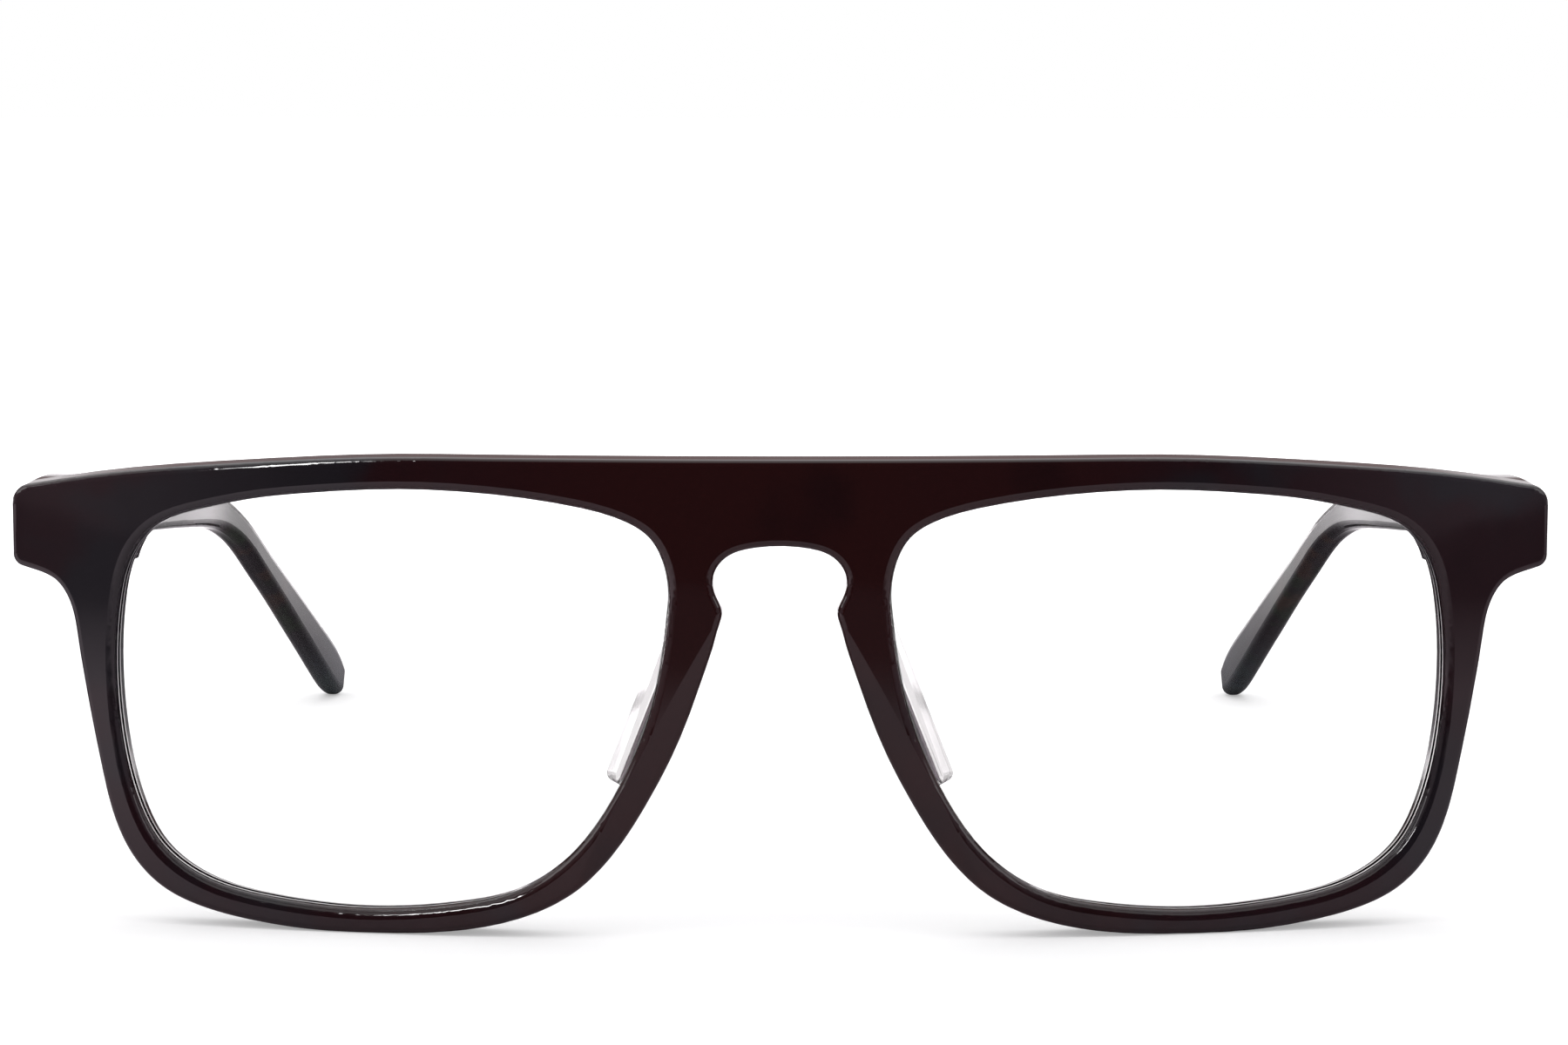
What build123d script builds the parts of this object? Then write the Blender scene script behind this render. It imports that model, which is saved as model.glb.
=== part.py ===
from build123d import *
import os
from math import asin, atan2, cos, hypot, radians, sin, sqrt, tan

# Full-rim acetate eyeglasses: a flat brow, a keyhole bridge, clear lenses and five-knuckle hinges.
# Millimetres, +Z up. The front faces -Y. X is zero at the middle of the bridge, Z is zero at the
# surface on which the rims and the temple tips rest, and Y is zero halfway back.
# Left and right are the wearer's, so left is +X. Each pair is made at +X and mirrored.

os.makedirs("parts", exist_ok=True)

# Driving dimensions of the front
opening_width = 51.7
opening_height = 38.9
bridge_width = 20.7
front_radius = 250.0
front_thickness = 4.0
brow_height = 3.0
bridge_height = 7.84
rim_bottom = 2.1
rim_side = 3.19
endpiece_reach = 9.22
endpiece_height = 7.5
endpiece_drop = 3.6
endpiece_rise = 5.57
keyhole_width = 12.0
keyhole_height = 6.0
front_round = 0.6
opening_round = 0.8
rear_round = 0.5

# Driving dimensions of the temples
overall_depth = 138.0
temple_thickness = 4.0
temple_height = 7.0
tail_thickness = 2.8
tail_height = 3.35
paddle_height = 5.1
temple_inset = 12.4
temple_edge_round = 0.6
tip_round_share = 0.4
tip_lift_share = 0.2761
tip_lean_share = 0.1193

# Rounds of the endpiece in the front view
endpiece_lower_radius = 1.2
endpiece_upper_radius = 1.9

# Nose bevel: a flat cut that thins the front beside the nose
bevel_tilt = 12.0
bevel_slant = 56.0
bevel_width = 5.6
bevel_run = 52.0
bevel_lead = 4.0

# Lenses and their grooves
lens_radius = 260.0
lens_thickness = 2.0
lens_depth = 1.65
lens_fit = 0.05
groove_depth = 0.5
ridge_thickness = 1.0

# Nose pads, glued behind the front
pad_top = 35.0
pad_length = 21.5
pad_depth = 8.0
pad_root_width = 2.5
pad_root_top_x = 6.6
pad_root_bottom_x = 12.9
pad_edge_width = 1.5
pad_edge_top_x = 7.4
pad_edge_bottom_x = 15.3
pad_round = 0.4
glue_film = 0.05

# Hinge blocks behind the endpieces
hinge_rise = 3.85
block_width = 12.25
block_inset = 0.25
block_proud = 1.0
block_corner = 1.2
block_clearance = 0.7
block_round = 0.4

# Hinges
stop_gap = 0.06
barrel_radius = 1.55
barrel_offset = 1.85
barrel_pitch = 1.0
knuckle_count = 5
barrel_gap = 0.06
web_width = 2.2
leaf_thickness = 0.9
leaf_round = 0.4
leaf_fit = 0.03
front_leaf_length = 4.6
temple_leaf_length = 8.6
pin_radius = 0.6
pin_fit = 0.04
pin_head_radius = 1.1
pin_head_height = 0.5
pin_seat = 0.02
slot_width = 0.25
slot_depth = 0.22
leaf_screw_radius = 0.45
leaf_screw_length = 2.6
leaf_screw_head_radius = 0.75
leaf_screw_spread = 3.0
leaf_screw_pitch = 3.2
leaf_screw_inset = 1.2
leaf_screw_fit = 0.02
leaf_slot_width = 0.2
leaf_slot_depth = 0.15

# Wire cores
core_thickness = 1.0
core_height = 1.5
core_fit = 0.03
core_recess = 0.3

overrun = 5.0

# Outline points as shares of the sizes named beside them.
# Keyhole: across (half the keyhole width) and up (keyhole height), from its top down to the lip.
keyhole_shares = [(0.433, 0.965), (0.81, 0.823), (0.997, 0.54), (0.958, 0.24), (0.867, 0.0)]
# Nasal rim: from the lip to the middle of the lens, and from the floor up to the lip.
nasal_shares = [
    (0.0104, 0.955), (0.0244, 0.902), (0.041, 0.849), (0.0765, 0.743), (0.1152, 0.637),
    (0.159, 0.536), (0.2168, 0.4245), (0.293, 0.2985), (0.3727, 0.199), (0.4515, 0.1307),
    (0.5286, 0.0862), (0.687, 0.0325), (0.846, 0.008),
]
# Outer rim: across (half the opening and the side rim) and up (half the opening and the bottom rim).
outer_shares = [
    (0.0717, -1.0), (0.2254, -0.997), (0.419, -0.970), (0.613, -0.912), (0.7266, -0.842),
    (0.8323, -0.698), (0.9012, -0.4756), (0.9322, -0.281), (0.958, -0.095), (0.9759, 0.0487),
    (0.9914, 0.181),
]
# Underside of the endpiece: across from the rim's side to the end, and up (endpiece rise).
underside_shares = [
    (0.0, 0.0), (0.0415, 0.255), (0.121, 0.515), (0.204, 0.673), (0.310, 0.799), (0.461, 0.894),
    (0.627, 0.955),
]
# Brow: across (half the front) and down (endpiece drop).
brow_shares = [(0.9366, 0.778), (0.835, 0.486), (0.704, 0.25), (0.563, 0.064), (0.4366, 0.0)]
# Lens opening: across and up, in halves of the opening, from the nose over the top.
opening_shares = [
    (-0.999, 0.48), (-0.974, 0.70), (-0.935, 0.785), (-0.84, 0.866), (-0.655, 0.933), (-0.47, 0.970),
    (-0.28, 0.992), (-0.09, 1.0), (0.09, 0.993), (0.28, 0.974), (0.47, 0.945), (0.66, 0.893),
    (0.85, 0.795), (0.912, 0.712), (0.95, 0.62), (0.981, 0.46), (1.0, 0.10), (0.982, -0.213),
    (0.92, -0.5475), (0.853, -0.712), (0.712, -0.861), (0.42, -0.966), (0.09, -1.0), (-0.253, -0.9625),
    (-0.445, -0.90), (-0.633, -0.738), (-0.832, -0.369), (-0.933, -0.0386),
]

# Temple stations, from the hinge to the tip: length, inset, drop, thickness, height and roundness.
# Thickness runs from the temple's (0) to the tail's (1), height from the temple's (0) over the tail's (1)
# to the paddle's (2), and roundness from the temple's edge round (0) to half the thickness (1).
station_shares = [
    (0.0, 0.0, 0.0, 0.0, 0.0, 0.0), (0.045, 0.0, 0.0, 0.0, 0.02, 0.0),
    (0.090, 0.003, 0.007, 0.05, 0.06, 0.05),
    (0.200, 0.0685, 0.041, 0.22, 0.186, 0.12), (0.347, 0.190, 0.0966, 0.42, 0.37, 0.20),
    (0.470, 0.290, 0.1495, 0.58, 0.515, 0.28), (0.560, 0.353, 0.1975, 0.70, 0.70, 0.36),
    (0.605, 0.412, 0.238, 0.78, 0.88, 0.42), (0.650, 0.513, 0.308, 0.85, 0.98, 0.48),
    (0.705, 0.617, 0.4245, 0.93, 1.06, 0.52), (0.765, 0.707, 0.5435, 1.0, 1.26, 0.55),
    (0.825, 0.790, 0.661, 1.0, 1.54, 0.55), (0.890, 0.880, 0.790, 1.0, 1.8, 0.55),
    (0.945, 0.948, 0.897, 1.0, 2.0, 0.55), (0.975, 0.976, 0.953, 1.0, 1.85, 0.62),
    (1.0, 1.0, 1.0, 1.0, 1.15, 0.8),
]
straight_stations = 2
solid_tip_stations = 2

# Places worked out from the sizes
front_y = -overall_depth / 2
wrap_angle = asin((bridge_width / 2 + opening_width / 2) / front_radius)
lens_x = bridge_width / 2 + opening_width / 2 * cos(wrap_angle)
opening_mid_z = rim_bottom + opening_height / 2
brow_z = rim_bottom + opening_height + brow_height
half_width = lens_x + opening_width / 2 + endpiece_reach
endpiece_top_z = brow_z - endpiece_drop
endpiece_bottom_z = endpiece_top_z - endpiece_height
keyhole_top_z = brow_z - bridge_height
lip_z = keyhole_top_z - keyhole_height
lip_x = keyhole_shares[-1][0] * keyhole_width / 2
wrap_y = front_y + front_radius
rear_radius = front_radius - front_thickness
hinge_z = endpiece_bottom_z + hinge_rise
block_outer_x = half_width - block_inset
block_inner_x = block_outer_x - block_width


def front_depth(x, radius):
    """Y of the front (or, with its radius, the rear) surface at x."""
    return wrap_y - sqrt(radius ** 2 - x ** 2)


def wrap_distance(shape):
    """Distance of a shape's middle from the axis of the wrap."""
    middle = shape.center() if isinstance(shape, Face) else shape.position_at(1 / 2)
    return hypot(middle.X, middle.Y - wrap_y)


block_front_y = (front_depth(half_width, front_radius) + front_depth(block_inner_x, rear_radius)) / 2
block_rear_y = front_depth(half_width, rear_radius) + block_proud
temple_front_y = block_rear_y + stop_gap
temple_x = block_outer_x - temple_thickness / 2
temple_inner_x = block_outer_x - temple_thickness
temple_length = overall_depth / 2 - temple_front_y - paddle_height * tip_lean_share
temple_drop = hinge_z - paddle_height * tip_lift_share
pivot_x = temple_inner_x - barrel_offset
pivot_y = block_rear_y + barrel_offset + stop_gap
barrel_height = knuckle_count * barrel_pitch - barrel_gap
barrel_top_z = hinge_z + barrel_height / 2
barrel_bottom_z = hinge_z - barrel_height / 2
front_leaf_x = pivot_x + web_width / 2 + leaf_round - front_leaf_length / 2
temple_leaf_y = pivot_y - web_width / 2 - leaf_round + temple_leaf_length / 2
front_screw_x = front_leaf_x - front_leaf_length / 2 + leaf_screw_inset - leaf_round / 2
temple_screw_y = temple_leaf_y + temple_leaf_length / 2 - leaf_screw_inset


def lens_plane():
    """Plane of the left lens opening: on the front surface, square to it at the lens middle."""
    return Plane(
        origin=(lens_x, front_depth(lens_x, front_radius), opening_mid_z),
        x_dir=(cos(wrap_angle), sin(wrap_angle), 0),
        z_dir=(sin(wrap_angle), -cos(wrap_angle), 0),
    )


def sphere_centre():
    """Middle of the lens curve, behind the front on the lens axis."""
    axis = lens_plane().z_dir
    return lens_plane().origin - axis * (lens_depth + lens_radius)


def opening_points(growth):
    """Points of the lens opening, grown on all sides by a small amount."""
    return [
        (across * (opening_width / 2 + growth), up * (opening_height / 2 + growth))
        for across, up in opening_shares
    ]


def half_outline_points():
    """Points of the lower outline at +X, from beside the keyhole's top round to the endpiece."""
    points = [(across * keyhole_width / 2, lip_z + up * keyhole_height) for across, up in keyhole_shares]
    points += [(lip_x + across * (lens_x - lip_x), up * lip_z) for across, up in nasal_shares]
    points += [
        (lens_x + across * (opening_width / 2 + rim_side), opening_mid_z + up * opening_mid_z)
        for across, up in outer_shares
    ]
    rim_x = lens_x + opening_width / 2 + rim_side
    points += [
        (rim_x + across * (half_width - rim_x), endpiece_bottom_z - (1 - up) * endpiece_rise)
        for across, up in underside_shares
    ]
    return points


# Front
with BuildPart() as hinge_block:
    with BuildSketch(Plane.XZ.offset(-block_front_y)):
        with Locations(((block_outer_x + block_inner_x) / 2, hinge_z)):
            RectangleRounded(block_width, temple_height, block_corner)
    extrude(amount=-(block_rear_y - block_front_y))
    with BuildSketch(lens_plane().offset(overrun)):
        with BuildLine():
            Spline(*opening_points(block_clearance), periodic=True)
        make_face()
    extrude(amount=-(front_thickness + 3 * overrun), mode=Mode.SUBTRACT)
    fillet(hinge_block.faces().sort_by(Axis.Y)[-1].edges(), block_round)

with BuildPart() as opening_cutter:
    with BuildSketch(lens_plane().offset(overrun)):
        with BuildLine():
            Spline(*opening_points(0), periodic=True)
        make_face()
    extrude(amount=-(front_thickness + 2 * overrun))

with BuildPart() as groove_cutter:
    with BuildSketch(lens_plane().offset(overrun)):
        with BuildLine():
            Spline(*opening_points(groove_depth), periodic=True)
        make_face()
    extrude(amount=-(front_thickness + 2 * overrun))
    with Locations(sphere_centre()):
        Sphere(lens_radius + ridge_thickness / 2 + lens_fit, mode=Mode.INTERSECT)
        Sphere(lens_radius - ridge_thickness / 2 - lens_fit, mode=Mode.SUBTRACT)

with BuildPart() as front_leaf_pocket:
    with BuildSketch(Plane.XZ.offset(-(block_rear_y - leaf_thickness - leaf_fit))):
        with Locations((front_leaf_x, hinge_z)):
            RectangleRounded(
                front_leaf_length + 2 * leaf_fit, barrel_height + 2 * leaf_fit, leaf_round + leaf_fit
            )
    extrude(amount=-overrun)
    with BuildSketch(Plane.XZ.offset(-(block_rear_y - leaf_screw_length - leaf_screw_fit))):
        with Locations((front_screw_x, hinge_z)):
            with GridLocations(0, leaf_screw_spread, 1, 2):
                Circle(leaf_screw_radius + leaf_screw_fit)
    extrude(amount=-overrun)

with BuildPart() as front_frame:
    half_points = half_outline_points()
    with BuildSketch(Plane.XZ.offset(-front_y)):
        with BuildLine():
            left_half = [(-x, z) for x, z in reversed(half_points)]
            lower = Spline(*left_half, (0, keyhole_top_z), *half_points)
            corner = lower @ 1 + (lower % 1) * ((half_width - (lower @ 1).X) / (lower % 1).X)
            brow_points = [
                (across * half_width, brow_z - down * endpiece_drop) for across, down in brow_shares
            ]
            endpiece = FilletPolyline(
                lower @ 1,
                corner,
                (half_width, endpiece_top_z),
                brow_points[0],
                radius=[endpiece_lower_radius, endpiece_upper_radius],
            )
            brow = Spline(*brow_points, tangents=[endpiece % 1, (-1, 0)])
            flat = Line(brow @ 1, (0, brow_z))
            mirror(endpiece.edges() + brow.edges() + flat.edges(), about=Plane.YZ)
        make_face()
    outline_depth = front_depth(half_width, rear_radius) - front_y
    extrude(amount=-(outline_depth + overrun), clean=False)
    with BuildSketch(Plane.XY.offset(-overrun)):
        with BuildLine():
            span = half_width + overrun
            front_arc = ThreePointArc(
                (-span, front_depth(span, front_radius)),
                (0, front_y),
                (span, front_depth(span, front_radius)),
            )
            rear_arc = ThreePointArc(
                (span, front_depth(span, rear_radius)),
                (0, front_y + front_thickness),
                (-span, front_depth(span, rear_radius)),
            )
            Line(front_arc @ 1, rear_arc @ 0)
            Line(rear_arc @ 1, front_arc @ 0)
        make_face()
    extrude(amount=brow_z + 2 * overrun, mode=Mode.INTERSECT, clean=False)
    for side in (1, -1):
        lip = Vector(side * lip_x, front_depth(lip_x, front_radius), lip_z)
        along = Vector(side * cos(radians(bevel_slant)), 0, -sin(radians(bevel_slant)))
        noseward = Vector(-side * sin(radians(bevel_slant)), 0, -cos(radians(bevel_slant)))
        with BuildSketch(Plane(origin=lip - along * bevel_lead, x_dir=noseward, z_dir=along)):
            with BuildLine():
                Polyline(
                    (0, 0),
                    (0, -side * overrun),
                    (bevel_width, -side * overrun),
                    (bevel_width, side * bevel_width * tan(radians(bevel_tilt))),
                    close=True,
                )
            make_face()
        extrude(amount=bevel_run, mode=Mode.SUBTRACT, clean=False)
    walls = front_frame.faces().filter_by(lambda face: abs(face.normal_at(face.center()).Y) < 1 / 2)
    bevel_depth = bevel_width * tan(radians(bevel_tilt))
    front_limit = front_radius - bevel_depth - front_round
    fillet(walls.edges().filter_by(lambda edge: wrap_distance(edge) > front_limit), front_round)
    walls = front_frame.faces().filter_by(lambda face: abs(face.normal_at(face.center()).Y) < 1 / 2)
    rear_limit = rear_radius + rear_round / 2
    fillet(walls.edges().filter_by(lambda edge: wrap_distance(edge) < rear_limit), rear_round)
    add([opening_cutter.part, opening_cutter.part.mirror(Plane.YZ)], mode=Mode.SUBTRACT, clean=False)
    loops = front_frame.edges(Select.LAST).filter_by(GeomType.LINE, reverse=True)
    add([groove_cutter.part, groove_cutter.part.mirror(Plane.YZ)], mode=Mode.SUBTRACT, clean=False)
    middle_radius = (front_radius + rear_radius) / 2
    fillet(loops.filter_by(lambda edge: wrap_distance(edge) > middle_radius), opening_round)
    fillet(loops.filter_by(lambda edge: wrap_distance(edge) < middle_radius), rear_round)
    add([hinge_block.part, hinge_block.part.mirror(Plane.YZ)], clean=False)
    add([front_leaf_pocket.part, front_leaf_pocket.part.mirror(Plane.YZ)], mode=Mode.SUBTRACT, clean=False)


def pad_section(depth, width, top_x, bottom_x):
    """Plane and slot length of a nose pad section between two X positions, at a depth behind the bridge."""
    length = hypot(pad_length - width, bottom_x - top_x)
    lean = atan2(bottom_x - top_x, pad_length - width)
    middle = Vector((top_x + bottom_x) / 2, front_y + depth, pad_top - pad_length / 2)
    return Plane(origin=middle, x_dir=(sin(lean), 0, -cos(lean)), z_dir=(0, -1, 0)), length + width


def temple_plane(position):
    """Plane square to the left temple's path at a station, X outward."""
    points = []
    for length, inset, drop, *_ in station_shares:
        points.append(
            Vector(
                temple_x - inset * temple_inset,
                temple_front_y + length * temple_length,
                hinge_z - drop * temple_drop,
            )
        )
    ahead = points[min(position + 1, len(points) - 1)]
    behind = points[max(position - 1, 0)]
    tangent = Vector(0, 1, 0) if position < straight_stations else (ahead - behind).normalized()
    return Plane(origin=points[position], x_dir=tangent.cross(Vector(0, 0, 1)), z_dir=tangent)


def temple_section(position):
    """Thickness, height and corner radius of the temple at a station."""
    thickness_share, height_share, round_share = station_shares[position][3:]
    thickness = temple_thickness + (tail_thickness - temple_thickness) * thickness_share
    if height_share < 1:
        height = temple_height + (tail_height - temple_height) * height_share
    else:
        height = tail_height + (paddle_height - tail_height) * (height_share - 1)
    return thickness, height, temple_edge_round + (thickness / 2 - temple_edge_round) * round_share


# Lenses
with BuildPart() as ridge_blank:
    with BuildSketch(lens_plane().offset(overrun)):
        with BuildLine():
            Spline(*opening_points(groove_depth - lens_fit), periodic=True)
        make_face()
    extrude(amount=-(front_thickness + 2 * overrun))
    with Locations(sphere_centre()):
        Sphere(lens_radius + ridge_thickness / 2, mode=Mode.INTERSECT)
        Sphere(lens_radius - ridge_thickness / 2, mode=Mode.SUBTRACT)

with BuildPart() as left_lens:
    with BuildSketch(lens_plane().offset(overrun)):
        with BuildLine():
            Spline(*opening_points(-lens_fit), periodic=True)
        make_face()
    extrude(amount=-(front_thickness + 2 * overrun))
    with Locations(sphere_centre()):
        Sphere(lens_radius + lens_thickness / 2, mode=Mode.INTERSECT)
        Sphere(lens_radius - lens_thickness / 2, mode=Mode.SUBTRACT)
    add(ridge_blank.part)

with BuildPart() as right_lens:
    mirror(left_lens.part, about=Plane.YZ)

# Nose pads
with BuildPart() as left_nose_pad:
    root_plane, root_length = pad_section(
        front_thickness / 2, pad_root_width, pad_root_top_x, pad_root_bottom_x
    )
    with BuildSketch(root_plane):
        SlotOverall(root_length, pad_root_width)
    edge_plane, edge_length = pad_section(pad_depth, pad_edge_width, pad_edge_top_x, pad_edge_bottom_x)
    with BuildSketch(edge_plane):
        SlotOverall(edge_length, pad_edge_width)
    loft()
    fillet(left_nose_pad.faces().sort_by(Axis.Y)[-1].edges(), pad_round)
    with Locations((0, wrap_y, pad_top - pad_length / 2)):
        Cylinder(rear_radius - glue_film, pad_length + 2 * overrun, mode=Mode.INTERSECT)

with BuildPart() as right_nose_pad:
    mirror(left_nose_pad.part, about=Plane.YZ)

# Temples, with a channel for the wire core that opens at the front end
last_station = len(station_shares) - 1
core_station = last_station - solid_tip_stations
with BuildPart() as core_channel:
    front_plane = temple_plane(0)
    with BuildSketch(front_plane.offset(-overrun)):
        Rectangle(core_thickness + 2 * core_fit, core_height + 2 * core_fit)
    for station in range(1, core_station + 1):
        with BuildSketch(temple_plane(station)):
            Rectangle(core_thickness + 2 * core_fit, core_height + 2 * core_fit)
    loft()

with BuildPart() as temple_leaf_pocket:
    with BuildSketch(Plane.YZ.offset(temple_inner_x + leaf_thickness + leaf_fit)):
        with Locations((temple_leaf_y, hinge_z)):
            RectangleRounded(
                temple_leaf_length + 2 * leaf_fit, barrel_height + 2 * leaf_fit, leaf_round + leaf_fit
            )
    extrude(amount=-overrun)
    with BuildSketch(Plane.YZ.offset(temple_inner_x + leaf_screw_length + leaf_screw_fit)):
        with Locations(
            (temple_screw_y, hinge_z - leaf_screw_spread / 2),
            (temple_screw_y - leaf_screw_pitch, hinge_z + leaf_screw_spread / 2),
        ):
            Circle(leaf_screw_radius + leaf_screw_fit)
    extrude(amount=-overrun)

with BuildPart() as left_temple:
    for station in range(last_station + 1):
        thickness, height, corner_radius = temple_section(station)
        with BuildSketch(temple_plane(station)):
            RectangleRounded(thickness, height, corner_radius)
    loft()
    fillet(left_temple.faces().sort_by(Axis.Y)[-1].edges(), tail_thickness * tip_round_share)
    add([core_channel.part, temple_leaf_pocket.part], mode=Mode.SUBTRACT, clean=False)

with BuildPart() as right_temple:
    mirror(left_temple.part, about=Plane.YZ)

# Wire cores
with BuildPart() as left_temple_core:
    with BuildSketch(temple_plane(0).offset(-overrun)):
        Rectangle(core_thickness, core_height)
    for station in range(1, core_station + 1):
        with BuildSketch(temple_plane(station)):
            Rectangle(core_thickness, core_height)
    loft()
    split(bisect_by=temple_plane(0).offset(core_recess), keep=Keep.TOP)
    split(bisect_by=temple_plane(core_station).offset(-core_fit), keep=Keep.BOTTOM)

with BuildPart() as right_temple_core:
    mirror(left_temple_core.part, about=Plane.YZ)

# Front hinge halves: leaf, three knuckles and their webs
with BuildPart() as left_front_hinge:
    with BuildSketch(Plane.XZ.offset(-(block_rear_y - leaf_thickness))):
        with Locations((front_leaf_x, hinge_z)):
            RectangleRounded(front_leaf_length, barrel_height, leaf_round)
    extrude(amount=-leaf_thickness)
    for knuckle in range(0, knuckle_count, 2):
        with BuildSketch(Plane.XY.offset(barrel_bottom_z + knuckle * barrel_pitch)):
            with Locations((pivot_x, pivot_y)):
                Circle(barrel_radius)
            with Locations((pivot_x, (pivot_y + block_rear_y - leaf_thickness / 2) / 2)):
                Rectangle(web_width, pivot_y - block_rear_y + leaf_thickness / 2)
        extrude(amount=barrel_pitch - barrel_gap)
    with Locations((pivot_x, pivot_y, hinge_z)):
        Cylinder(pin_radius + pin_fit, barrel_height + 2 * overrun, mode=Mode.SUBTRACT)
    with Locations(
        Plane((front_screw_x, block_rear_y, hinge_z + leaf_screw_spread / 2), z_dir=(0, 1, 0)),
        Plane((front_screw_x, block_rear_y, hinge_z - leaf_screw_spread / 2), z_dir=(0, 1, 0)),
    ):
        CounterSinkHole(
            leaf_screw_radius + leaf_screw_fit,
            leaf_screw_head_radius + leaf_screw_fit,
            leaf_thickness + overrun,
        )

with BuildPart() as right_front_hinge:
    mirror(left_front_hinge.part, about=Plane.YZ)

# Temple hinge halves: leaf, two knuckles and their webs
with BuildPart() as left_temple_hinge:
    with BuildSketch(Plane.YZ.offset(temple_inner_x + leaf_thickness)):
        with Locations((temple_leaf_y, hinge_z)):
            RectangleRounded(temple_leaf_length, barrel_height, leaf_round)
    extrude(amount=-leaf_thickness)
    for knuckle in range(1, knuckle_count, 2):
        with BuildSketch(Plane.XY.offset(barrel_bottom_z + knuckle * barrel_pitch)):
            with Locations((pivot_x, pivot_y)):
                Circle(barrel_radius)
            with Locations(((pivot_x + temple_inner_x + leaf_thickness / 2) / 2, pivot_y)):
                Rectangle(temple_inner_x + leaf_thickness / 2 - pivot_x, web_width)
        extrude(amount=barrel_pitch - barrel_gap)
    with Locations((pivot_x, pivot_y, hinge_z)):
        Cylinder(pin_radius + pin_fit, barrel_height + 2 * overrun, mode=Mode.SUBTRACT)
    with Locations(
        Plane((temple_inner_x, temple_screw_y, hinge_z - leaf_screw_spread / 2), z_dir=(-1, 0, 0)),
        Plane(
            (temple_inner_x, temple_screw_y - leaf_screw_pitch, hinge_z + leaf_screw_spread / 2),
            z_dir=(-1, 0, 0),
        ),
    ):
        CounterSinkHole(
            leaf_screw_radius + leaf_screw_fit,
            leaf_screw_head_radius + leaf_screw_fit,
            leaf_thickness + overrun,
        )

with BuildPart() as right_temple_hinge:
    mirror(left_temple_hinge.part, about=Plane.YZ)

# Hinge screws: pin, head and driver slot
with BuildPart() as left_hinge_screw:
    with BuildSketch(Plane.XY.offset(barrel_bottom_z)):
        with Locations((pivot_x, pivot_y)):
            Circle(pin_radius)
    extrude(amount=barrel_height + pin_seat + pin_head_height)
    with BuildSketch(Plane.XY.offset(barrel_top_z + pin_seat)):
        with Locations((pivot_x, pivot_y)):
            Circle(pin_head_radius)
    extrude(amount=pin_head_height)
    with BuildSketch(Plane.XY.offset(barrel_top_z + pin_seat + pin_head_height - slot_depth)):
        with Locations((pivot_x, pivot_y)):
            Rectangle(slot_width, 2 * pin_head_radius + overrun)
    extrude(amount=slot_depth + overrun, mode=Mode.SUBTRACT)

with BuildPart() as right_hinge_screw:
    mirror(left_hinge_screw.part, about=Plane.YZ)

# Leaf screws: one countersunk screw, placed twice in each leaf
with BuildPart() as leaf_screw:
    head_depth = leaf_screw_head_radius - leaf_screw_radius
    with BuildSketch(Plane.XZ):
        with BuildLine():
            Polyline(
                (0, 0),
                (leaf_screw_head_radius, 0),
                (leaf_screw_radius, -head_depth),
                (leaf_screw_radius, -leaf_screw_length),
                (0, -leaf_screw_length),
                close=True,
            )
        make_face()
    revolve(axis=Axis.Z)
    with BuildSketch(Plane.XY.offset(-leaf_slot_depth)):
        Rectangle(leaf_slot_width, 2 * leaf_screw_head_radius + overrun)
    extrude(amount=leaf_slot_depth + overrun, mode=Mode.SUBTRACT)

with BuildPart() as left_front_leaf_screws:
    with Locations(
        Plane((front_screw_x, block_rear_y, hinge_z + leaf_screw_spread / 2), z_dir=(0, 1, 0)),
        Plane((front_screw_x, block_rear_y, hinge_z - leaf_screw_spread / 2), z_dir=(0, 1, 0)),
    ):
        add(leaf_screw.part)

with BuildPart() as right_front_leaf_screws:
    mirror(left_front_leaf_screws.part, about=Plane.YZ)

with BuildPart() as left_temple_leaf_screws:
    with Locations(
        Plane((temple_inner_x, temple_screw_y, hinge_z - leaf_screw_spread / 2), z_dir=(-1, 0, 0)),
        Plane(
            (temple_inner_x, temple_screw_y - leaf_screw_pitch, hinge_z + leaf_screw_spread / 2),
            z_dir=(-1, 0, 0),
        ),
    ):
        add(leaf_screw.part)

with BuildPart() as right_temple_leaf_screws:
    mirror(left_temple_leaf_screws.part, about=Plane.YZ)

front_frame.part.label = "front_frame"
left_lens.part.label = "left_lens"
right_lens.part.label = "right_lens"
left_nose_pad.part.label = "left_nose_pad"
right_nose_pad.part.label = "right_nose_pad"
left_temple.part.label = "left_temple"
right_temple.part.label = "right_temple"
left_temple_core.part.label = "left_temple_core"
right_temple_core.part.label = "right_temple_core"
left_front_hinge.part.label = "left_front_hinge"
right_front_hinge.part.label = "right_front_hinge"
left_temple_hinge.part.label = "left_temple_hinge"
right_temple_hinge.part.label = "right_temple_hinge"
left_hinge_screw.part.label = "left_hinge_screw"
right_hinge_screw.part.label = "right_hinge_screw"
left_front_leaf_screws.part.label = "left_front_leaf_screws"
right_front_leaf_screws.part.label = "right_front_leaf_screws"
left_temple_leaf_screws.part.label = "left_temple_leaf_screws"
right_temple_leaf_screws.part.label = "right_temple_leaf_screws"

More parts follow.
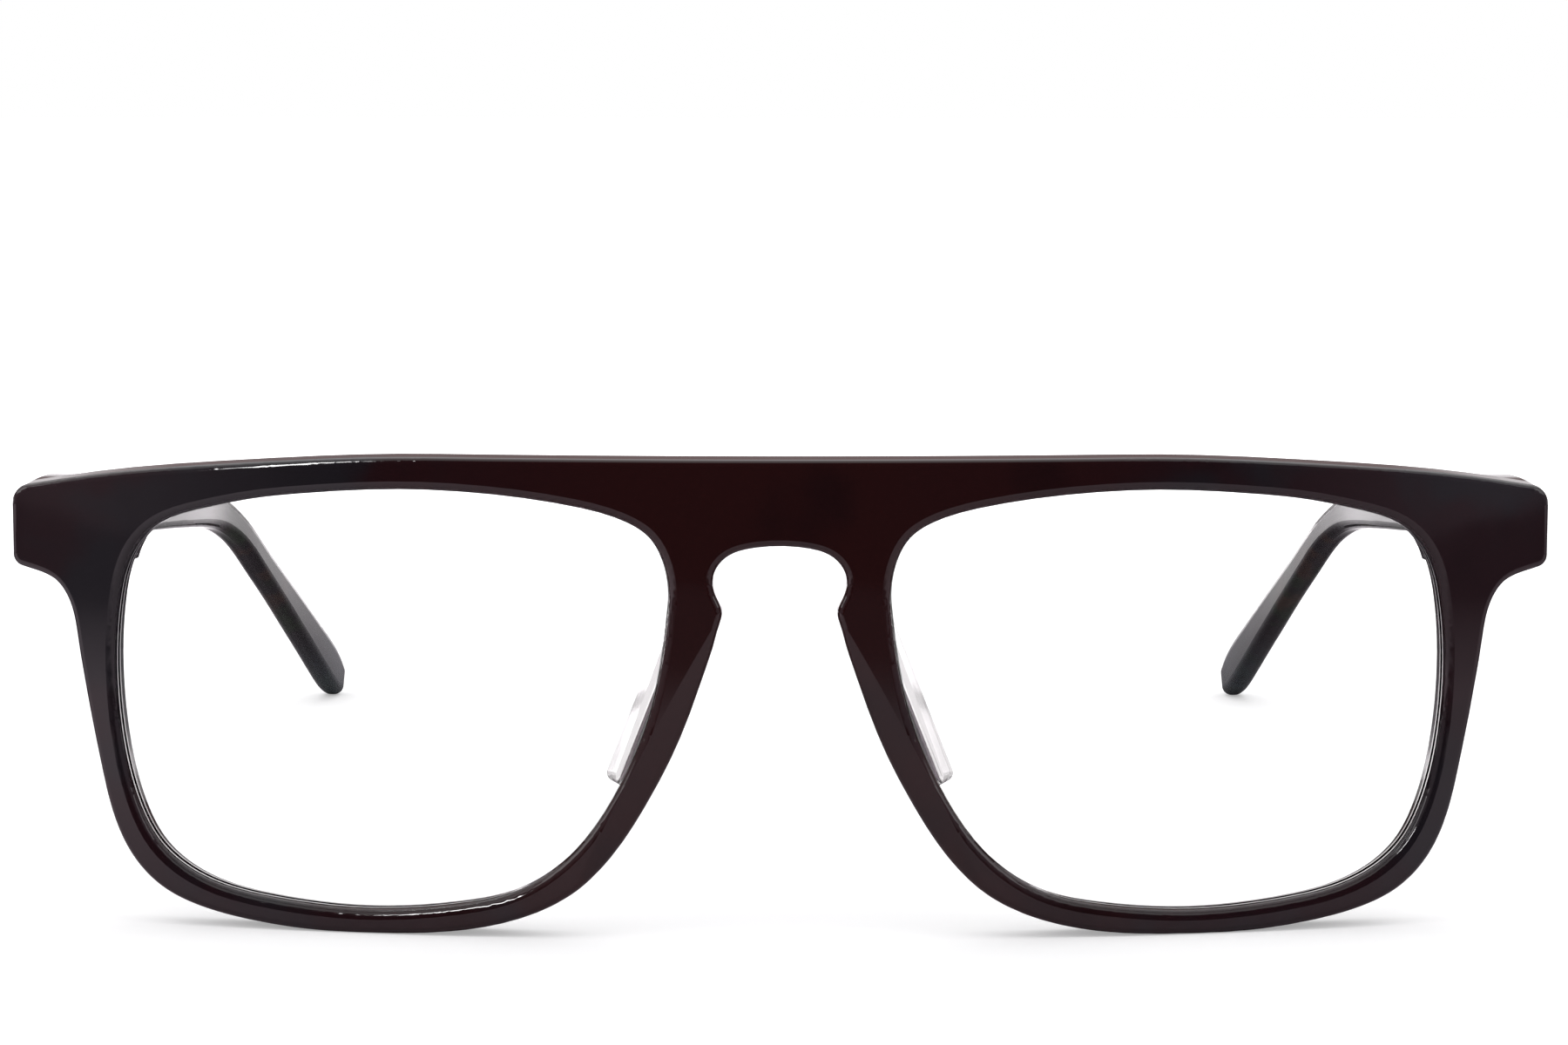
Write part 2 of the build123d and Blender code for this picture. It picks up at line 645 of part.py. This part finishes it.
export_step(front_frame.part, "parts/front_frame.step")
export_step(left_lens.part, "parts/left_lens.step")
export_step(right_lens.part, "parts/right_lens.step")
export_step(left_nose_pad.part, "parts/left_nose_pad.step")
export_step(right_nose_pad.part, "parts/right_nose_pad.step")
export_step(left_temple.part, "parts/left_temple.step")
export_step(right_temple.part, "parts/right_temple.step")
export_step(left_temple_core.part, "parts/left_temple_core.step")
export_step(right_temple_core.part, "parts/right_temple_core.step")
export_step(left_front_hinge.part, "parts/left_front_hinge.step")
export_step(right_front_hinge.part, "parts/right_front_hinge.step")
export_step(left_temple_hinge.part, "parts/left_temple_hinge.step")
export_step(right_temple_hinge.part, "parts/right_temple_hinge.step")
export_step(left_hinge_screw.part, "parts/left_hinge_screw.step")
export_step(right_hinge_screw.part, "parts/right_hinge_screw.step")
export_step(left_front_leaf_screws.part, "parts/left_front_leaf_screws.step")
export_step(right_front_leaf_screws.part, "parts/right_front_leaf_screws.step")
export_step(left_temple_leaf_screws.part, "parts/left_temple_leaf_screws.step")
export_step(right_temple_leaf_screws.part, "parts/right_temple_leaf_screws.step")
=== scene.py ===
from math import radians

import bpy
from mathutils import Matrix, Vector

# Looks of a pair of polished dark acetate eyeglasses on a white table. Metres, in the CAD part's frame:
# the front faces -Y, +X is the wearer's left, and Z is zero on the table.

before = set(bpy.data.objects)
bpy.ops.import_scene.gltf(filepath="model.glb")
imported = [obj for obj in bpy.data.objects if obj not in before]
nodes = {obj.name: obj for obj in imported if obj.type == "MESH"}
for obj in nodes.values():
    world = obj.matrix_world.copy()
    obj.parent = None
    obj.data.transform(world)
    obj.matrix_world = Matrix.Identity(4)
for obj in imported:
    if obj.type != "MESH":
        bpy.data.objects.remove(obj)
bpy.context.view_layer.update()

# Camera, at the photograph's viewing angle
PICTURE_WIDTH = 1800
FOCAL_PIXELS = 4459
SENSOR_WIDTH = 36.0
CAMERA_PLACE = (0.0010, -0.41492, 0.08078)
CAMERA_PITCH = -6.987
CAMERA_TURN = 0.102
CAMERA_ROLL = 0.033

# Studio: a white sweep that ends before the camera, a bright backdrop and a dark room behind the camera
TABLE_FRONT = -0.30
TABLE_BACK = 4.0
TABLE_SIDE = 4.0
TABLE_COLOUR = (0.74, 0.74, 0.745, 1)
TABLE_GLOW = 0.34
WHITE_FROM = 0.10
WHITE_TO = 0.35
WHITE = (1, 1, 1, 1)
ROOM_AMBIENT = (0.62, 0.61, 0.62, 1)
ROOM_DARK = (0.035, 0.032, 0.036, 1)
ROOM_RIGHT = (0.43, 0.35, 0.39, 1)
ROOM_LEFT = (0.40, 0.34, 0.39, 1)
HORIZON_SHINE = (1.0, 0.96, 0.98, 1)
BACKDROP_LOW = (0.26, 0.20, 0.20, 1)
BACKDROP_SHINE = (0.95, 0.92, 0.94, 1)
# Where the room's reflected colours begin and end, as components of the direction
HORIZON_FROM = 0.02
HORIZON_TO = 0.085
BACKDROP_FROM = 0.14
BACKDROP_TO = 0.40
SIDES_FROM = 0.36
SIDES_TO = 0.72
BEHIND_FROM = -0.10
BEHIND_TO = 0.35
# Painted light and shade that the table shows only in reflections, over TABLE_REACH before the middle of
# the glasses and behind it: a painted shadow under the glasses, dim in front, bright behind, brighter to
# the wearer's right and far back
TABLE_REACH = 0.3
TABLE_EDGE = 0.14
TABLE_SHINE_RIGHT = 0.75
TABLE_SHINE_LEFT = 0.10
FAR_SHINE = 1.6
FAR_FROM = 0.17
FAR_TO = 0.27
TABLE_SHINE = (
    (0.12, (0.09, 0.08, 0.09, 1)),
    (0.23, (0.52, 0.45, 0.49, 1)),
    (0.40, (0.52, 0.45, 0.49, 1)),
    (0.46, (0.09, 0.08, 0.09, 1)),
    (0.59, (0.09, 0.08, 0.09, 1)),
    (0.68, (0.42, 0.40, 0.42, 1)),
    (0.80, (1, 0.97, 0.99, 1)),
)

# Colours, as linear values
BRIDGE_BROWN = (0.0172, 0.0036, 0.0037, 1)
SIDE_PLUM = (0.0125, 0.0042, 0.0060, 1)
CLOUD_SLATE = (0.0095, 0.0080, 0.0105, 1)
CLOUD_NIGHT = (0.0038, 0.0016, 0.0026, 1)
TEMPLE_CHARCOAL = (0.0080, 0.0058, 0.0072, 1)
TEMPLE_UMBER = (0.0210, 0.0105, 0.0080, 1)
TEMPLE_MOSS = (0.0090, 0.0130, 0.0075, 1)
TIP_SLATE = (0.0120, 0.0165, 0.0215, 1)
PAD_TINT = (0.75, 0.73, 0.735, 1)
LENS_TINT = (0.995, 1.0, 0.995, 1)
LENS_COATING = (0.10, 0.16, 0.12, 1)
# Painted shade: the lens ridge's dark colour stands in for the shaded groove of the frame around it
LENS_EDGE_SHADE = (0.035, 0.042, 0.036, 1)
NICKEL_SILVER = (0.62, 0.60, 0.56, 1)
WIRE_GREY = (0.56, 0.55, 0.54, 1)
SCREW_STEEL = (0.72, 0.72, 0.72, 1)

# Surfaces
PLASTIC_IOR = 1.49
POLISH_ROUGHNESS = 0.04
POLISH_SPREAD = 0.04
RIPPLE_DEPTH = 0.00003
PAD_ROUGHNESS = 0.08
PAD_SPREAD = 0.06
METAL_SPREAD = 0.12
GRAIN_DEPTH = 0.00001

# Distances from the middle, or towards the back, where the sheets change colour
PLUM_WANDER = 0.03
PLUM_FROM = 0.025
PLUM_TO = 0.065
CLOUDS_FROM = 0.01
CLOUDS_TO = 0.03
TIP_FROM = 0.045
TIP_TO = 0.066
NIGHT_STRENGTH = 0.4
UMBER_STRENGTH = 0.8
# Squares of the normal's share along Y, between which the lens's ridge ends: matt from grinding, and
# painted dark as shade of the frame's groove
RIDGE_FROM = 0.45
RIDGE_TO = 0.60


class Wire:
    """One socket of a node tree, with operators that add Math nodes."""

    def __init__(self, tree, socket):
        self.tree = tree
        self.socket = socket

    def __add__(self, other):
        return self.tree.math("ADD", self, other)

    def __radd__(self, other):
        return self.tree.math("ADD", other, self)

    def __rsub__(self, other):
        return self.tree.math("SUBTRACT", other, self)

    def __mul__(self, other):
        return self.tree.math("MULTIPLY", self, other)


class Tree:
    """A node tree that is written from an empty start."""

    def __init__(self, owner):
        owner.use_nodes = True
        self.nodes = owner.node_tree.nodes
        self.links = owner.node_tree.links
        self.nodes.clear()

    def node(self, kind, settings, values, output=0):
        """Adds a node: its settings first, then a value or a wire for each named or numbered socket."""
        made = self.nodes.new(kind)
        for name, setting in settings.items():
            if name == "stops":
                ramp = made.color_ramp
                while len(ramp.elements) < len(setting):
                    ramp.elements.new(0)
                for element, (place, colour) in zip(ramp.elements, setting):
                    element.position = place
                    element.color = colour
            else:
                setattr(made, name, setting)
        for name, value in values.items():
            if isinstance(value, Wire):
                self.links.new(value.socket, made.inputs[name])
            else:
                made.inputs[name].default_value = value
        return Wire(self, made.outputs[output]) if len(made.outputs) else made

    def math(self, operation, *values):
        return self.node("ShaderNodeMath", {"operation": operation}, dict(enumerate(values)))

    def blend(self, amount, first, second):
        """Mixes two colours."""
        return self.node("ShaderNodeMix", {"data_type": "RGBA"}, {0: amount, 6: first, 7: second}, 2)

    def noise(self, place, scale, detail=2.0, roughness=0.5):
        """Noise between 0 and 1; the scale is in features to the metre."""
        values = {"Vector": place, "Scale": scale, "Detail": detail, "Roughness": roughness}
        return self.node("ShaderNodeTexNoise", {}, values)

    def span(self, value, low, high, to_low=0.0, to_high=1.0):
        """Maps a value from one range to another, held at its ends."""
        return self.node(
            "ShaderNodeMapRange", {"interpolation_type": "SMOOTHSTEP"},
            {"Value": value, "From Min": low, "From Max": high, "To Min": to_low, "To Max": to_high},
        )

    def axis(self, vector, number):
        """One component of a vector, 0 to 2 for X to Z."""
        return self.node("ShaderNodeSeparateXYZ", {}, {0: vector}, number)

    def light(self, name):
        """One of the facts about the ray that looks."""
        return self.node("ShaderNodeLightPath", {}, {}, name)

    def seen(self):
        """1 where the camera looks, straight or through clear plastic, and 0 in every reflection."""
        mirrors = self.math("MINIMUM", self.light("Glossy Depth"), 1.0)
        through = self.light("Is Transmission Ray") * (1.0 - mirrors)
        return self.math("MAXIMUM", self.light("Is Camera Ray"), through)


class Finish(Tree):
    """A material around one Principled BSDF."""

    def __init__(self, name):
        self.material = bpy.data.materials.new(name)
        super().__init__(self.material)
        self.place = self.node("ShaderNodeTexCoord", {}, {}, 3)

    def surface(self, values):
        shader = self.node("ShaderNodeBsdfPrincipled", {}, values)
        self.node("ShaderNodeOutputMaterial", {}, {"Surface": shader})
        return self.material

    def dents(self, height, distance):
        values = {"Height": height, "Distance": distance, "Strength": 1.0}
        return self.node("ShaderNodeBump", {}, values)


def shade(colour, factor):
    """A colour at a fraction of its brightness."""
    return (colour[0] * factor, colour[1] * factor, colour[2] * factor, 1)


def polished(finish, colour):
    """The gloss of polished acetate: buffed smooth, with a faint ripple of the sheet."""
    buffing = finish.noise(finish.place, scale=400.0, detail=2.0)
    ripple = finish.noise(finish.place, scale=90.0, detail=1.0)
    return finish.surface(
        {
            "Base Color": colour,
            "Roughness": POLISH_ROUGHNESS + buffing * POLISH_SPREAD,
            "Specular IOR Level": 0.5,
            "IOR": PLASTIC_IOR,
            "Normal": finish.dents(ripple, RIPPLE_DEPTH),
        }
    )


def front_sheet(name):
    """Dark sheet: red-brown at the bridge, plum towards the endpieces, with clouds of slate and night."""
    finish = Finish(name)
    outward = finish.math("ABSOLUTE", finish.axis(finish.place, 0))
    wander = finish.noise(finish.place, scale=35.0, detail=2.0)
    reach = outward + wander * PLUM_WANDER
    colour = finish.blend(finish.span(reach, PLUM_FROM, PLUM_TO), BRIDGE_BROWN, SIDE_PLUM)
    slate = finish.noise(finish.place, scale=55.0, detail=3.0, roughness=0.55)
    clouded = finish.span(slate, 0.47, 0.60) * finish.span(outward, CLOUDS_FROM, CLOUDS_TO)
    colour = finish.blend(clouded, colour, CLOUD_SLATE)
    night = finish.noise(finish.place, scale=80.0, detail=2.0, roughness=0.5)
    colour = finish.blend(finish.span(night, 0.54, 0.70) * NIGHT_STRENGTH, colour, CLOUD_NIGHT)
    return polished(finish, colour)


def temple_sheet(name):
    """Charcoal sheet with umber and moss clouds, and slate at the tips."""
    finish = Finish(name)
    back = finish.axis(finish.place, 1)
    moss = finish.noise(finish.place, scale=110.0, detail=3.0, roughness=0.55)
    umber = finish.noise(finish.place, scale=160.0, detail=2.0, roughness=0.5)
    colour = finish.blend(finish.span(moss, 0.50, 0.60), TEMPLE_CHARCOAL, TEMPLE_MOSS)
    colour = finish.blend(finish.span(umber, 0.56, 0.66) * UMBER_STRENGTH, colour, TEMPLE_UMBER)
    colour = finish.blend(finish.span(back, TIP_FROM, TIP_TO), colour, TIP_SLATE)
    return polished(finish, colour)


def clear_pad(name):
    """Clear polished acetate with a little haze."""
    finish = Finish(name)
    haze = finish.noise(finish.place, scale=300.0, detail=2.0)
    hazy = shade(PAD_TINT, 0.9)
    return finish.surface(
        {
            "Base Color": finish.blend(haze, PAD_TINT, hazy),
            "Roughness": PAD_ROUGHNESS + haze * PAD_SPREAD,
            "Transmission Weight": 1.0,
            "IOR": PLASTIC_IOR,
        }
    )


def coated_lens(name):
    """Clear lens plastic: the faces' coating reflects a weak green, and the ridge is matt from grinding,
    with painted shade: its dark colour stands in for the shaded groove of the frame around it.
    """
    finish = Finish(name)
    normal = finish.node("ShaderNodeTexCoord", {}, {}, 1)
    facing = finish.axis(normal, 1)
    ground_and_shaded = 1.0 - finish.span(facing * facing, RIDGE_FROM, RIDGE_TO)
    dirt_and_shade = finish.noise(finish.place, scale=900.0, detail=2.0)
    return finish.surface(
        {
            # Painted shade: the ridge's dark colour stands in for the shaded groove it sits in; its
            # roughness is real matt grinding, with a random spread
            "Base Color": finish.blend(ground_and_shaded * (0.85 + dirt_and_shade * 0.15), LENS_TINT, LENS_EDGE_SHADE),
            "Roughness": ground_and_shaded * (0.30 + dirt_and_shade * 0.10),
            "Transmission Weight": 1.0,
            "IOR": PLASTIC_IOR,
            "Specular Tint": LENS_COATING,
        }
    )


def metal(name, colour, roughness, grain_scale, stretch):
    """Bare metal with a drawn or tumbled grain."""
    finish = Finish(name)
    stretched = finish.node("ShaderNodeMapping", {}, {"Vector": finish.place, "Scale": stretch})
    grain = finish.noise(stretched, grain_scale, detail=3.0)
    darker = shade(colour, 0.75)
    return finish.surface(
        {
            "Base Color": finish.blend(grain, darker, colour),
            "Metallic": 1.0,
            "Roughness": roughness + grain * METAL_SPREAD,
            "Normal": finish.dents(grain, GRAIN_DEPTH),
        }
    )


def dress(node, material):
    """Puts a material on every slot of a CAD node."""
    mesh = nodes[node].data
    if not mesh.materials:
        mesh.materials.append(material)
    for slot in nodes[node].material_slots:
        slot.material = material


front_acetate = front_sheet("front_acetate")
temple_acetate = temple_sheet("temple_acetate")
lens_plastic = coated_lens("lens_plastic")
pad_acetate = clear_pad("pad_acetate")
nickel_silver = metal("nickel_silver", NICKEL_SILVER, 0.28, 2500.0, (1, 1, 4))
core_wire = metal("core_wire", WIRE_GREY, 0.35, 2500.0, (6, 1, 6))
screw_steel = metal("screw_steel", SCREW_STEEL, 0.2, 3000.0, (1, 1, 1))

dress("front_frame", front_acetate)
for side in ("left", "right"):
    dress(side + "_lens", lens_plastic)
    dress(side + "_nose_pad", pad_acetate)
    dress(side + "_temple", temple_acetate)
    dress(side + "_temple_core", core_wire)
    dress(side + "_front_hinge", nickel_silver)
    dress(side + "_temple_hinge", nickel_silver)
    dress(side + "_hinge_screw", screw_steel)
    dress(side + "_front_leaf_screws", screw_steel)
    dress(side + "_temple_leaf_screws", screw_steel)

# Table: its shade near the glasses is kept, and it glows to plain white further off. In reflections it
# shows painted light and shade instead:
# dim in front of the glasses, a painted shadow under them and bright behind them
table_mesh = bpy.data.meshes.new("table")
table_mesh.from_pydata(
    [
        (-TABLE_SIDE, TABLE_FRONT, 0),
        (TABLE_SIDE, TABLE_FRONT, 0),
        (TABLE_SIDE, TABLE_BACK, 0),
        (-TABLE_SIDE, TABLE_BACK, 0),
    ],
    [],
    [(0, 1, 2, 3)],
)
table = bpy.data.objects.new("table", table_mesh)
bpy.context.scene.collection.objects.link(table)
table_look = Finish("table")
far = table_look.node("ShaderNodeVectorMath", {"operation": "LENGTH"}, {0: table_look.place}, 1)
glow = table_look.seen() * table_look.span(far, WHITE_FROM, WHITE_TO, TABLE_GLOW, 1.0)
deep = table_look.axis(table_look.place, 1)
across = table_look.axis(table_look.place, 0)
along = deep * (0.5 / TABLE_REACH) + 0.5
# Painted reflection: the table's colour as reflections see it, with a painted shadow of the glasses under
# them
mirrored = table_look.node("ShaderNodeValToRGB", {"stops": TABLE_SHINE}, {"Fac": along})
level = table_look.span(across, 0.0, -TABLE_EDGE, 1.0, 1.0 + TABLE_SHINE_RIGHT)
level = level * table_look.span(across, 0.0, TABLE_EDGE, 1.0, 1.0 + TABLE_SHINE_LEFT)
level = level * table_look.span(deep, FAR_FROM, FAR_TO, 1.0, FAR_SHINE)
mirrored = table_look.node("ShaderNodeVectorMath", {"operation": "SCALE"}, {0: mirrored, "Scale": level})
reflects = table_look.light("Is Glossy Ray") * (1.0 - table_look.seen())
table_shade = table_look.blend(reflects, TABLE_COLOUR, mirrored)
diffuse = table_look.node("ShaderNodeBsdfDiffuse", {}, {"Color": table_shade})
shine = table_look.node("ShaderNodeEmission", {}, {"Color": WHITE, "Strength": glow})
both = table_look.node("ShaderNodeAddShader", {}, {0: diffuse, 1: shine})
table_look.node("ShaderNodeOutputMaterial", {}, {"Surface": both})
table_mesh.materials.append(table_look.material)

# Room: white where it is seen directly or through the lenses; in reflections the backdrop is bright, the
# sides are dimmer and the room behind the camera is dark
world = bpy.data.worlds.new("studio")
bpy.context.scene.world = world
room = Tree(world)
direction = room.node("ShaderNodeTexCoord", {}, {}, 0)
sideways = room.axis(direction, 0)
depth = room.axis(direction, 1)
height = room.axis(direction, 2)
backdrop = room.blend(room.span(height, HORIZON_FROM, HORIZON_TO), HORIZON_SHINE, BACKDROP_LOW)
backdrop = room.blend(room.span(height, BACKDROP_FROM, BACKDROP_TO), backdrop, BACKDROP_SHINE)
reflected = room.blend(room.span(sideways, SIDES_FROM, SIDES_TO), ROOM_DARK, ROOM_LEFT)
reflected = room.blend(room.span(sideways, -SIDES_FROM, -SIDES_TO), reflected, ROOM_RIGHT)
reflected = room.blend(room.span(depth, BEHIND_FROM, BEHIND_TO), reflected, backdrop)
lighting = room.blend(room.light("Is Glossy Ray"), ROOM_AMBIENT, reflected)
room_shade = room.blend(room.seen(), lighting, WHITE)
background = room.node("ShaderNodeBackground", {}, {"Color": room_shade, "Strength": 1.0})
room.node("ShaderNodeOutputWorld", {}, {"Surface": background})


def softbox(name, place, target, width, height, power, lights=True):
    """A rectangular lamp that faces a point; without lights it shows only as a highlight on gloss."""
    lamp = bpy.data.lights.new(name, "AREA")
    lamp.shape = "RECTANGLE"
    lamp.size = width
    lamp.size_y = height
    lamp.energy = power
    made = bpy.data.objects.new(name, lamp)
    made.location = place
    made.rotation_euler = (Vector(target) - Vector(place)).to_track_quat("-Z", "Y").to_euler()
    made.visible_camera = False
    made.visible_transmission = False
    made.visible_diffuse = lights
    bpy.context.scene.collection.objects.link(made)


softbox("top_softbox", (0.0, 0.15, 0.9), (0, 0, 0), width=1.9, height=1.5, power=8.6)
softbox("left_softbox", (0.9, -0.25, 0.5), (0, 0, 0.02), width=0.5, height=0.5, power=1.2)
softbox("right_softbox", (-0.9, -0.25, 0.5), (0, 0, 0.02), width=0.5, height=0.5, power=1.6)
softbox(
    "brow_strip", (-0.32, -0.45, 0.40), (-0.04, -0.065, 0.03),
    width=0.05, height=0.25, power=1.3, lights=False,
)

# Camera
lens = bpy.data.cameras.new("camera")
lens.sensor_fit = "HORIZONTAL"
lens.sensor_width = SENSOR_WIDTH
lens.lens = SENSOR_WIDTH * FOCAL_PIXELS / PICTURE_WIDTH
lens.clip_start = 0.01
camera = bpy.data.objects.new("camera", lens)
turn = Matrix.Rotation(radians(CAMERA_TURN), 4, "Z")
tilt = Matrix.Rotation(radians(90 + CAMERA_PITCH), 4, "X")
roll = Matrix.Rotation(radians(CAMERA_ROLL), 4, "Z")
camera.matrix_world = Matrix.Translation(CAMERA_PLACE) @ turn @ tilt @ roll
bpy.context.scene.collection.objects.link(camera)
bpy.context.scene.camera = camera
bpy.context.scene.view_settings.view_transform = "Standard"
